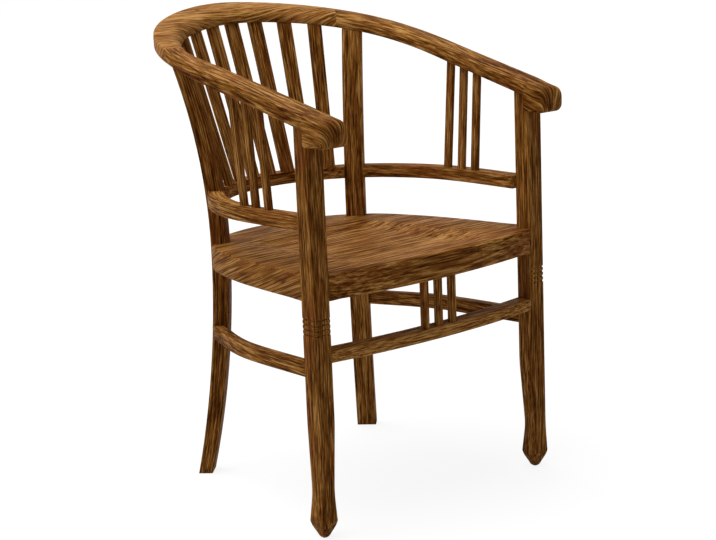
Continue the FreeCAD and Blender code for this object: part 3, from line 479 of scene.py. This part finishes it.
def straightened(tree, place, outward):
    """The place on a rear leg moved back by the lean of the leg at its height."""
    run = math_node(tree, "SUBTRACT", separated(tree, place)["Z"], POST_WAIST)
    square = math_node(tree, "MULTIPLY", run, run)
    above = math_node(tree, "GREATER_THAN", run, 0.0)
    more = POST_TOP_RATE - POST_FOOT_RATE
    rate = math_node(tree, "MULTIPLY_ADD", above, more, POST_FOOT_RATE)
    back = add(tree, "ShaderNodeVectorMath", operation="SCALE")
    back.inputs[0].default_value = -outward
    link(tree, math_node(tree, "MULTIPLY", square, rate), back.inputs["Scale"])
    return vector_node(tree, "ADD", place, back.outputs[0])


def laid_over(tree, place):
    """The place folded so that the pattern of a top runs on down its inner face."""
    parts = separated(tree, place)
    across = math_node(tree, "ADD", parts["Y"], parts["Z"])
    rest = math_node(tree, "MULTIPLY", parts["Z"], FOLD_REST)
    return combined(tree, parts["X"], across, rest)


def bent(tree, place, name):
    """The place on a bent rail moved back by how far its curve has gone across there."""
    across, along = ("Y", "X") if name == "lower_back_rail" else ("X", "Y")
    points = numpy.array([vertex.co for vertex in NODES[name].data.vertices])
    runs = points[:, "XYZ".index(along)]
    curve = numpy.polyfit(runs, points[:, "XYZ".index(across)], CURVE_ORDER)
    parts = separated(tree, place)
    gone = float(curve[0])
    for term in curve[1:]:
        gone = math_node(tree, "MULTIPLY_ADD", parts[along], gone, float(term))
    moved = math_node(tree, "SUBTRACT", parts[across], gone)
    return combined(tree, moved, parts["Z"], parts[along])


def reading_place(tree, name):
    """The place where a piece reads the pattern, with its own curve taken out."""
    if name in ARMS:
        return add(tree, "ShaderNodeAttribute", attribute_name=GRAIN_PLACE).outputs["Vector"]
    place = add(tree, "ShaderNodeTexCoord").outputs["Object"]
    if name.startswith("rear_leg"):
        return straightened(tree, place, Vector((side_of(name), 1, 0)).normalized())
    if name == "crest_rail":
        return laid_over(tree, place)
    if name in BENT_RAILS:
        return bent(tree, place, name)
    return place


def wood_pattern(tree, place, tone):
    pattern = add(tree, "ShaderNodeGroup", node_tree=WOOD)
    link(tree, place, pattern.inputs["Place"])
    pattern.inputs["Tone"].default_value = tone
    return pattern.outputs


def wood_material(name, seed, spin):
    """The wood of a piece; the seed picks the board that it was cut from."""
    material, tree, shader = new_material("wood_" + name)
    tone = TONES.get(name, 0.0)
    squash = RAIL_SQUASH if name in BENT_RAILS else SQUASHES.get(name, PLAIN_SQUASH)
    place = scaled(tree, reading_place(tree, name), squash)
    spot = along_grain(tree, place, grain_of(name), seed, spin)
    if name == "seat":
        spot = scaled(tree, spot, SEAT_STRETCH)
    pattern = wood_pattern(tree, spot, tone)
    colour = pattern["Color"]
    if name == "seat":
        spot = scaled(tree, place, SEAT_SIDE_SQUASH)
        spot = along_grain(tree, spot, SEAT_SIDE_GRAIN, seed, spin)
        side_pattern = wood_pattern(tree, scaled(tree, spot, SEAT_STRETCH), tone)
        normal = add(tree, "ShaderNodeNewGeometry").outputs["Normal"]
        sideways = math_node(tree, "ABSOLUTE", separated(tree, normal)["X"])
        share = spread(tree, sideways, *SEAT_SIDE_RANGE)
        colour = mix_colour(tree, "MIX", share, colour, side_pattern["Color"])
    link(tree, colour, shader.inputs["Base Color"])
    link(tree, pattern["Roughness"], shader.inputs["Roughness"])
    bump = add(tree, "ShaderNodeBump")
    bump.inputs["Strength"].default_value = BUMP_STRENGTH
    bump.inputs["Distance"].default_value = BUMP_DEPTH
    link(tree, pattern["Height"], bump.inputs["Height"])
    link(tree, bump.outputs["Normal"], shader.inputs["Normal"])
    shader.inputs["Specular IOR Level"].default_value = WOOD_SPECULAR
    return material


# Screw steel

STEEL_RATE = (900, 900, 900)
STEEL_RANGE = (0.3, 0.7)
STEEL_COLOURS = ((0.42, 0.42, 0.42), (0.62, 0.62, 0.61))
STEEL_ROUGHNESS = (0.32, 0.5)


def steel_material():
    material, tree, shader = new_material("screw_steel")
    shader.inputs["Metallic"].default_value = 1.0
    place = add(tree, "ShaderNodeTexCoord").outputs["Object"]
    grain = noise(tree, place, STEEL_RATE, detail=3)
    colour = ramp(tree, grain, tuple(zip(STEEL_RANGE, STEEL_COLOURS)))
    link(tree, colour, shader.inputs["Base Color"])
    rough = spread(tree, grain, *STEEL_RANGE, *STEEL_ROUGHNESS)
    link(tree, rough, shader.inputs["Roughness"])
    return material


# Shape finishing

SHARP_ANGLE = math.radians(32)
WELD_REACH = 0.00002
FLAT_ANGLE = math.radians(0.4)
BEVEL_ANGLE = math.radians(40)
BEVEL_WIDTH = 0.0025
BEVEL_SEGMENTS = 3


def make_edge_smoothing():
    """Smooth shading that stays sharp over edges above the sharp angle."""
    group = bpy.data.node_groups.new("smooth_by_edge_angle", "GeometryNodeTree")
    for way in ("INPUT", "OUTPUT"):
        group.interface.new_socket("Geometry", in_out=way, socket_type="NodeSocketGeometry")
    source = add(group, "NodeGroupInput")
    target = add(group, "NodeGroupOutput")
    edge_angle = add(group, "GeometryNodeInputMeshEdgeAngle")
    soft = add(group, "FunctionNodeCompare", data_type="FLOAT", operation="LESS_EQUAL")
    soft.inputs[1].default_value = SHARP_ANGLE
    faces = add(group, "GeometryNodeSetShadeSmooth", domain="FACE")
    edges = add(group, "GeometryNodeSetShadeSmooth", domain="EDGE")
    link(group, source.outputs[0], faces.inputs["Geometry"])
    link(group, faces.outputs[0], edges.inputs["Geometry"])
    link(group, edge_angle.outputs["Unsigned Angle"], soft.inputs[0])
    link(group, soft.outputs[0], edges.inputs["Shade Smooth"])
    link(group, edges.outputs[0], target.inputs[0])
    return group


SMOOTHING = make_edge_smoothing()


def smooth_shading(item):
    smoothing = item.modifiers.new("shading", "NODES")
    smoothing.node_group = SMOOTHING


def soften_edges(item):
    """Round the sharp edges of a piece that has its node's shape."""
    weld = item.modifiers.new("weld", "WELD")
    weld.merge_threshold = WELD_REACH
    planes = item.modifiers.new("planes", "DECIMATE")
    planes.decimate_type = "DISSOLVE"
    planes.angle_limit = FLAT_ANGLE
    bevel = item.modifiers.new("edges", "BEVEL")
    bevel.width = BEVEL_WIDTH
    bevel.segments = BEVEL_SEGMENTS
    bevel.limit_method = "ANGLE"
    bevel.angle_limit = BEVEL_ANGLE
    bevel.use_clamp_overlap = True
    smooth_shading(item)


def quarter_angles(quarter, steps):
    return [(quarter + step / steps) * math.pi / 2 for step in range(steps + 1)]


def lofted(name, loops):
    """A closed skin through loops of as many points each."""
    count = len(loops[0])
    points = [point for loop in loops for point in loop]
    faces = []
    for row in range(len(loops) - 1):
        low, high = row * count, (row + 1) * count
        for step in range(count):
            after = (step + 1) % count
            faces.append((low + step, low + after, high + after, high + step))
    faces.append(tuple(reversed(range(count))))
    faces.append(tuple(range(len(points) - count, len(points))))
    mesh = bpy.data.meshes.new(name)
    mesh.from_pydata(points, [], faces)
    skin = bmesh.new()
    skin.from_mesh(mesh)
    if skin.calc_volume(signed=True) < 0:
        bmesh.ops.reverse_faces(skin, faces=skin.faces[:])
    skin.to_mesh(mesh)
    skin.free()
    item = add_object(name, mesh)
    smooth_shading(item)
    return item


# Ring of the two arms and the crest rail. Its top and its underside rise to the back.

RING_SLOPE = math.radians(12.5)
RING_FRONT = -0.286
RING_TOP = 0.7329
RING_THICKNESS = 0.0252
RING_STEP = 0.006
RING_LEAST_STEPS = 24

# How far the ring's section keeps inside its node on either side
RING_ROOM = 0.00008

# Front end of an arm, and how far behind its tip the sections lie
ARM_FRONT = -0.338
ARM_HEEL = -0.2861
ARM_END_DROP = 0.0415
NOSE_RADIUS = 0.019
CHIN_RADIUS = 0.012
ARM_CORNERS = (0.0125, 0.005)
END_STEPS = (
    0.0, 0.0003, 0.001, 0.002, 0.0034, 0.005, 0.0068, 0.0088,
    0.011, 0.0135, 0.0163, 0.019, 0.022, 0.027, 0.034, 0.043,
)

# The rest of an arm starts this far behind the heel, and its next point lies this much further
HEEL_GAP = 0.00001
HEEL_STEP = 0.002

# Widths and heights of the roundings, from the outer top edge over the inner top edge and the
# inner lower edge to the outer lower edge. They change between the depths of a change.
END_EDGES = ((0.012, 0.011), (0.0055, 0.0055), (0.004, 0.004), (0.012, 0.011))
END_CHANGE = (-0.31, -0.27)
ARM_EDGES = ((0.006, 0.005), (0.004, 0.004), (0.004, 0.004), (0.004, 0.004))
CREST_CHANGE = (-0.02, 0.12)
CREST_EDGES = ((0.006, 0.004), (0.026, 0.0185), (0.004, 0.004), (0.004, 0.004))

# Quarters of a section, numbered as the roundings are
OUTER_QUARTERS = (0, 3)
TOP_QUARTERS = (0, 1)
INNER_TOP = 1
SECTION_STEPS = 7

# The most of the breadth and of the height that a rounding may take
WIDE_SHARE = 0.45
INNER_TOP_SHARE = 0.72
TALL_EDGE = 0.007
TALL_EDGE_SHARE = 0.45
LOW_EDGE_SHARE = 0.26

# Hairline at the joints of the ring
JOINT_INSET = 0.0005
JOINT_STEP = 0.0007

# The most that a wall's normal rises, the most that a point lies off the top, and the least
# that a wall faces straight out or in
WALL_TILT = 0.1
TOP_NEARNESS = 0.0001
LEAST_OUTWARD = 0.3


def ring_top(y):
    return RING_TOP + math.tan(RING_SLOPE) * (y - RING_FRONT)


def ring_under(y):
    return ring_top(y) - RING_THICKNESS


def arm_top(y):
    """The top of an arm, whose front end is rounded down."""
    middle = ARM_FRONT + NOSE_RADIUS
    height = ring_top(middle) - NOSE_RADIUS / math.cos(RING_SLOPE)
    if y > middle - NOSE_RADIUS * math.sin(RING_SLOPE):
        return ring_top(y)
    return height + math.sqrt(max(NOSE_RADIUS ** 2 - (y - middle) ** 2, 0.0))


def arm_under(y):
    """The underside of an arm, whose front end hooks down before the leg."""
    if y > ARM_HEEL:
        return ring_under(y)
    foot = ring_top(ARM_FRONT) - ARM_END_DROP
    run = max(ARM_FRONT + CHIN_RADIUS - y, 0.0)
    return foot + CHIN_RADIUS - math.sqrt(CHIN_RADIUS ** 2 - run ** 2)


def ring_edges(name):
    """The outer and the inner edge of a ring piece's top in plan, from right to left."""
    chains = ({}, {})
    mesh = NODES[name].data
    for face in mesh.polygons:
        if abs(face.normal.z) > WALL_TILT:
            continue
        for index in face.vertices:
            place = mesh.vertices[index].co
            outward = place.xy.normalized().dot(face.normal.xy)
            on_top = abs(place.z - ring_top(place.y)) < TOP_NEARNESS
            if on_top and abs(outward) > LEAST_OUTWARD:
                turn = math.atan2(place.x, -place.y) % (2 * math.pi)
                chains[0 if outward > 0 else 1][round(turn, 3)] = place.xy.copy()
    return [[chain[turn] for turn in sorted(chain)] for chain in chains]


def steps_along(points):
    """How far along a broken line each of its points lies."""
    reach = [0.0]
    for first, last in zip(points, points[1:]):
        reach.append(reach[-1] + (last - first).length)
    return reach


def smooth_place(points, reach, value):
    """The place on a smooth curve through the points."""
    last = len(points) - 1
    index = 0
    while index < last - 1 and reach[index + 1] < value:
        index += 1
    span = reach[index + 1] - reach[index]
    share = (value - reach[index]) / span
    ends = []
    for spot in (index, index + 1):
        before, after = max(spot - 1, 0), min(spot + 1, last)
        ends.append((points[after] - points[before]) / (reach[after] - reach[before]) * span)
    square, cube = share ** 2, share ** 3
    return (
        points[index] * (2 * cube - 3 * square + 1)
        + points[index + 1] * (3 * square - 2 * cube)
        + ends[0] * (cube - 2 * square + share)
        + ends[1] * (cube - square)
    )


def place_at_depth(points, y):
    """The place on the front of a broken line at a depth, run on straight past its end."""
    index = 0
    while index < len(points) - 2 and points[index + 1].y < y:
        index += 1
    first, last = points[index], points[index + 1]
    return first + (last - first) * (y - first.y) / (last.y - first.y)


def behind_depth(points, y):
    """The part of a broken line behind a depth, from the place on it there."""
    return [place_at_depth(points, y)] + [place for place in points if place.y > y + HEEL_STEP]


def height_share(quarter, tall):
    """The most of the ring's height that one of its roundings may take."""
    if quarter == INNER_TOP:
        return INNER_TOP_SHARE
    return TALL_EDGE_SHARE if tall > TALL_EDGE else LOW_EDGE_SHARE


def ring_section(outer, inner, top, under, edges, insets):
    """Points round the ring's section between two plan points, with rounded edges."""
    across = (outer - inner).normalized()
    start = inner + across * (insets[1] + RING_ROOM)
    breadth = (outer - inner).length - sum(insets) - 2 * RING_ROOM
    middle = (outer + inner).y / 2
    height = top(middle) - under(middle)
    points = []
    for quarter, (wide, tall) in enumerate(edges):
        wide = min(wide, breadth * WIDE_SHARE)
        tall = min(tall, height * height_share(quarter, tall))
        centre_x = breadth - wide if quarter in OUTER_QUARTERS else wide
        centre_z = height - tall if quarter in TOP_QUARTERS else tall
        for angle in quarter_angles(quarter, SECTION_STEPS):
            spot = start + across * (centre_x + wide * math.cos(angle))
            share = (centre_z + tall * math.sin(angle)) / height
            level = under(spot.y) + share * (top(spot.y) - under(spot.y))
            points.append((spot.x, spot.y, level))
    return points


def edges_at(y):
    """The roundings of the ring's four edges at a depth."""
    if y < END_CHANGE[1]:
        near, change, far = END_EDGES, END_CHANGE, ARM_EDGES
    else:
        near, change, far = ARM_EDGES, CREST_CHANGE, CREST_EDGES
    share = share_between(*change, y)
    share = share * share * (3 - 2 * share)
    return [
        tuple(first + (last - first) * share for first, last in zip(before, after))
        for before, after in zip(near, far)
    ]


def arm_end_loops(outer, inner):
    """The sections of an arm's front end, whose two corners are round in plan."""
    loops = []
    for y in [ARM_FRONT + step for step in END_STEPS] + [ARM_HEEL]:
        run = y - ARM_FRONT
        insets = [
            corner - math.sqrt(corner ** 2 - max(corner - run, 0.0) ** 2)
            for corner in ARM_CORNERS
        ]
        ends = place_at_depth(outer, y), place_at_depth(inner, y)
        loops.append(ring_section(*ends, arm_top, arm_under, edges_at(y), insets))
    return loops


def store_grain_places(mesh, loops):
    """Store each point's place across its section, fanned out down the sides, and along it."""
    loops = [[Vector(point) for point in loop] for loop in loops]
    middles = [sum(loop, Vector()) / len(loop) for loop in loops]
    places = []
    for loop, middle, along in zip(loops, middles, steps_along(middles)):
        breadth = (loop[0] - loop[len(loop) // 2]).xy
        across = breadth.normalized()
        for point in loop:
            depth = ring_top(point.y) - point.z
            fan = 1 + depth / max(breadth.length / 2, RING_THICKNESS)
            places += ((point - middle).xy.dot(across) * fan, depth * FOLD_REST, along)
    layer = mesh.attributes.new(GRAIN_PLACE, "FLOAT_VECTOR", "POINT")
    layer.data.foreach_set("vector", places)


def make_ring_piece(name):
    """An arm, from its front end back to its joint, or the crest rail, from joint to joint."""
    outer, inner = ring_edges(name)
    arm = name in ARMS
    if name == "arm_left":
        outer.reverse()
        inner.reverse()
    loops = []
    if arm:
        loops = arm_end_loops(outer, inner)
        outer, inner = (behind_depth(edge, ARM_HEEL + HEEL_GAP) for edge in (outer, inner))
    outer_reach, inner_reach = steps_along(outer), steps_along(inner)
    count = max(RING_LEAST_STEPS, round(outer_reach[-1] / RING_STEP))
    shares = [step / count for step in range(count + 1)]
    near = JOINT_STEP / outer_reach[-1]
    if not arm:
        shares.insert(1, near)
    shares.insert(-1, 1 - near)
    for share in shares:
        ends = (
            smooth_place(outer, outer_reach, share * outer_reach[-1]),
            smooth_place(inner, inner_reach, share * inner_reach[-1]),
        )
        at_joint = share == 1 or (share == 0 and not arm)
        inset = JOINT_INSET if at_joint else 0.0
        edges = edges_at((ends[0].y + ends[1].y) / 2)
        loops.append(ring_section(*ends, ring_top, ring_under, edges, (inset, inset)))
    piece = lofted(name + "_shaped", loops)
    if arm:
        store_grain_places(piece.data, loops)
    return piece


# Front legs: where the faces of the right one stand at each height

LEG_OUTER = ((0.0, 0.2734), (0.030, 0.2734), (0.082, 0.270), (0.9, 0.270))
LEG_INNER = ((0.0, 0.2387), (0.030, 0.2387), (0.082, 0.2426), (0.205, 0.2355), (0.9, 0.2355))
LEG_REAR = ((0.0, -0.251), (0.030, -0.251), (0.082, -0.256), (0.205, -0.251), (0.9, -0.251))
LEG_FRONT = -0.286

# How far the faces stand back in the rounded foot, and the radius of the leg's upright edges
FOOT_HEIGHT = 0.030
FOOT_INSETS = (
    (0.0, 0.0122), (0.0008, 0.0112), (0.0022, 0.0101), (0.0045, 0.0088), (0.009, 0.0069),
    (0.014, 0.0047), (0.019, 0.0026), (0.023, 0.0013), (0.027, 0.0004), (0.030, 0.0),
)
LEG_RADII = ((0.0, 0.0042), (0.008, 0.0048), (0.018, 0.0038), (0.030, 0.0020), (0.06, 0.0026))
LEG_CORNER_STEPS = 4

# The reach over which the bends in the faces are rounded
EASE_REACH = 0.012
EASE_STEPS = 6

GROOVE_HEIGHTS = (0.3603, 0.3693, 0.3782, 0.3872)
GROOVE_DEPTH = 0.0025
GROOVE_EDGE = 0.0036
GROOVE_STEPS = 72
GROOVE_MARGIN = 0.004

# Heights of the other sections, in steps over the taper and then far apart
TAPER_STEP = 0.004
TAPER_STEPS = 47
PLAIN_HEIGHTS = (0.24, 0.28, 0.32, 0.45, 0.52, 0.59, 0.66)


def along_line(places, value):
    """The height of a broken line of (place, height) points."""
    for (low, first), (high, last) in zip(places, places[1:]):
        if value <= high:
            return first + (last - first) * max(value - low, 0.0) / (high - low)
    return places[-1][1]


def eased(places, value, reach):
    """The broken line with its bends rounded over a reach."""
    shifts = [reach * (2 * step / EASE_STEPS - 1) for step in range(EASE_STEPS + 1)]
    return sum(along_line(places, value + shift) for shift in shifts) / len(shifts)


def flank_depth(share):
    """The depth at a share of the way into a groove, down its round flank."""
    return GROOVE_DEPTH * (1 - math.sqrt(max(1 - share * share, 0.0)))


def groove_depth(z):
    """The depth at a height: sharp grooves with round beads between them."""
    low, high = GROOVE_HEIGHTS[0], GROOVE_HEIGHTS[-1]
    if z < low - GROOVE_EDGE or z > high + GROOVE_EDGE:
        return 0.0
    if z < low or z > high:
        return flank_depth(1 - (low - z if z < low else z - high) / GROOVE_EDGE)
    beads = zip(GROOVE_HEIGHTS, GROOVE_HEIGHTS[1:])
    first, last = next(bead for bead in beads if z <= bead[1])
    return flank_depth(abs(2 * (z - first) / (last - first) - 1))


def front_leg_heights():
    low = GROOVE_HEIGHTS[0] - GROOVE_EDGE
    high = GROOVE_HEIGHTS[-1] + GROOVE_EDGE
    heights = {place for place, inset in FOOT_INSETS}
    heights.update(FOOT_HEIGHT + TAPER_STEP * step for step in range(1, TAPER_STEPS + 1))
    heights.update(low + (high - low) * step / GROOVE_STEPS for step in range(GROOVE_STEPS + 1))
    heights.update((low - GROOVE_MARGIN, *GROOVE_HEIGHTS, high + GROOVE_MARGIN))
    heights.update(PLAIN_HEIGHTS)
    return sorted(heights)


def rounded_rectangle(low_x, high_x, low_y, high_y, radius):
    """Points round a rectangle with round corners, from the right side on."""
    corners = (
        (high_x - radius, high_y - radius),
        (low_x + radius, high_y - radius),
        (low_x + radius, low_y + radius),
        (high_x - radius, low_y + radius),
    )
    return [
        (x + radius * math.cos(angle), y + radius * math.sin(angle))
        for quarter, (x, y) in enumerate(corners)
        for angle in quarter_angles(quarter, LEG_CORNER_STEPS)
    ]


def make_front_leg(name):
    """A front leg with its foot and grooves, up to the underside of the arm."""
    side = side_of(name)
    loops = []
    for z in front_leg_heights():
        inset = along_line(FOOT_INSETS, z)
        groove = groove_depth(z)
        reach = min(EASE_REACH, max(z - FOOT_HEIGHT, 0.0) / 2)
        outer = eased(LEG_OUTER, z, reach) - inset - groove
        inner = eased(LEG_INNER, z, reach) + inset
        rear = eased(LEG_REAR, z, reach) - inset
        front = LEG_FRONT + inset + groove
        loop = rounded_rectangle(inner, outer, front, rear, along_line(LEG_RADII, z))
        loops.append([(side * x, y, z) for x, y in loop])
    loops.append([(x, y, ring_under(y)) for x, y, z in loops[-1]])
    return lofted(name + "_shaped", loops)


# Side stretchers: how far their rear ends are drawn in, and where that begins

STRETCHER_TUCK = 0.007
TUCK_START = -0.06


def make_side_stretcher(name):
    """A side stretcher with its rear end drawn in until it is flush with the rear leg."""
    mesh = NODES[name].data.copy()
    mesh.materials.clear()
    rear = max(vertex.co.y for vertex in mesh.vertices)
    inward = Vector((-side_of(name), -1, 0)).normalized()
    for vertex in mesh.vertices:
        share = share_between(TUCK_START, rear, vertex.co.y)
        vertex.co += inward * STRETCHER_TUCK * share ** 2 * (3 - 2 * share)
    piece = add_object(name + "_shaped", mesh)
    soften_edges(piece)
    return piece


# Pieces

def shaped_piece(name):
    """The piece that stands for a node, or None where the node itself is shown."""
    if name in RING_PIECES:
        return make_ring_piece(name)
    if name.startswith("front_leg"):
        return make_front_leg(name)
    if name.startswith("side_stretcher"):
        return make_side_stretcher(name)
    return None


def dress(name, material):
    NODES[name].material_slots[0].material = material


def make_pieces():
    for seed, name in enumerate(sorted(NODES)):
        if name in ("seat_screws", "top_rail_dowels"):
            continue
        material = wood_material(name, seed, 0.0 if name in UNTURNED else seed * SPIN_STEP)
        piece = shaped_piece(name)
        if piece:
            piece.data.materials.append(material)
            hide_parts(name)
            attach(piece, "root")
        else:
            dress(name, material)
            soften_edges(NODES[name])
    dress("top_rail_dowels", wood_material("top_rail_dowels", DOWEL_SEED, 0.0))
    dress("seat_screws", steel_material())


# Stage

FLOOR_RADIUS = 12.0
FLOOR_CORNERS = 96
FLOOR_LEVEL = -0.0006
FLOOR_COLOUR = (0.8, 0.8, 0.8, 1)
FLOOR_ROUGHNESS = 0.9
FLOOR_SPECULAR = 0.1

# The floor is part white light, which grows with the distance and leaves the shadow visible
WHITE_SHARE = 0.7
WHITE_DISTANCES = (1.0, 3.5)
WHITE_STRENGTHS = (1.25, 1.40)

BACKGROUND_STRENGTH = 1.0
AMBIENT_STRENGTH = 0.19

# Name, place, size and watts of the lights, which face the middle of the chair
LIGHTS = (
    ("key", (-0.8, 0.8, 3.7), 4.0, 128),
    ("fill", (-3.4, -0.2, 1.4), 2.2, 5),
)
LIGHT_TARGET = (0, 0, 0.45)


def shown_background(tree):
    """1 for rays that show the background: seen straight, in a reflection or through glass."""
    path = add(tree, "ShaderNodeLightPath").outputs
    straight = math_node(tree, "MAXIMUM", path["Is Camera Ray"], path["Is Glossy Ray"])
    return math_node(tree, "MAXIMUM", straight, path["Is Transmission Ray"])


def make_floor():
    angles = [2 * math.pi * step / FLOOR_CORNERS for step in range(FLOOR_CORNERS)]
    ring = [(FLOOR_RADIUS * math.cos(angle), FLOOR_RADIUS * math.sin(angle), 0) for angle in angles]
    mesh = bpy.data.meshes.new("floor")
    mesh.from_pydata(ring, [], [tuple(range(FLOOR_CORNERS))])
    floor = add_object("floor", mesh)
    floor.location.z = FLOOR_LEVEL
    material, tree, shader = new_material("floor")
    shader.inputs["Base Color"].default_value = FLOOR_COLOUR
    shader.inputs["Roughness"].default_value = FLOOR_ROUGHNESS
    shader.inputs["Specular IOR Level"].default_value = FLOOR_SPECULAR
    white = add(tree, "ShaderNodeEmission")
    white.inputs["Color"].default_value = WHITE
    distance = length_of(tree, add(tree, "ShaderNodeTexCoord").outputs["Object"])
    strength = spread(tree, distance, *WHITE_DISTANCES, *WHITE_STRENGTHS)
    link(tree, strength, white.inputs["Strength"])
    share = math_node(tree, "MULTIPLY", shown_background(tree), WHITE_SHARE)
    blend = mix_shaders(tree, share, shader.outputs[0], white.outputs[0])
    link(tree, blend, tree.nodes["Material Output"].inputs["Surface"])
    mesh.materials.append(material)


def background(tree, strength):
    node = add(tree, "ShaderNodeBackground")
    node.inputs["Color"].default_value = WHITE
    node.inputs["Strength"].default_value = strength
    return node.outputs[0]


def make_world():
    world = bpy.data.worlds.new("studio")
    bpy.context.scene.world = world
    world.use_nodes = True
    tree = world.node_tree
    tree.nodes.clear()
    ambient = background(tree, AMBIENT_STRENGTH)
    white = background(tree, BACKGROUND_STRENGTH)
    blend = mix_shaders(tree, shown_background(tree), ambient, white)
    link(tree, blend, add(tree, "ShaderNodeOutputWorld").inputs["Surface"])


def make_lights():
    for name, place, size, watts in LIGHTS:
        data = bpy.data.lights.new(name, "AREA")
        data.shape = "SQUARE"
        data.size = size
        data.energy = watts
        light = add_object(name, data)
        light.location = place
        light.rotation_mode = "QUATERNION"
        facing = Vector(place) - Vector(LIGHT_TARGET)
        light.rotation_quaternion = facing.to_track_quat("Z", "Y")


make_pieces()
make_camera()
make_floor()
make_world()
make_lights()

scene = bpy.context.scene
scene.view_settings.view_transform = "Standard"
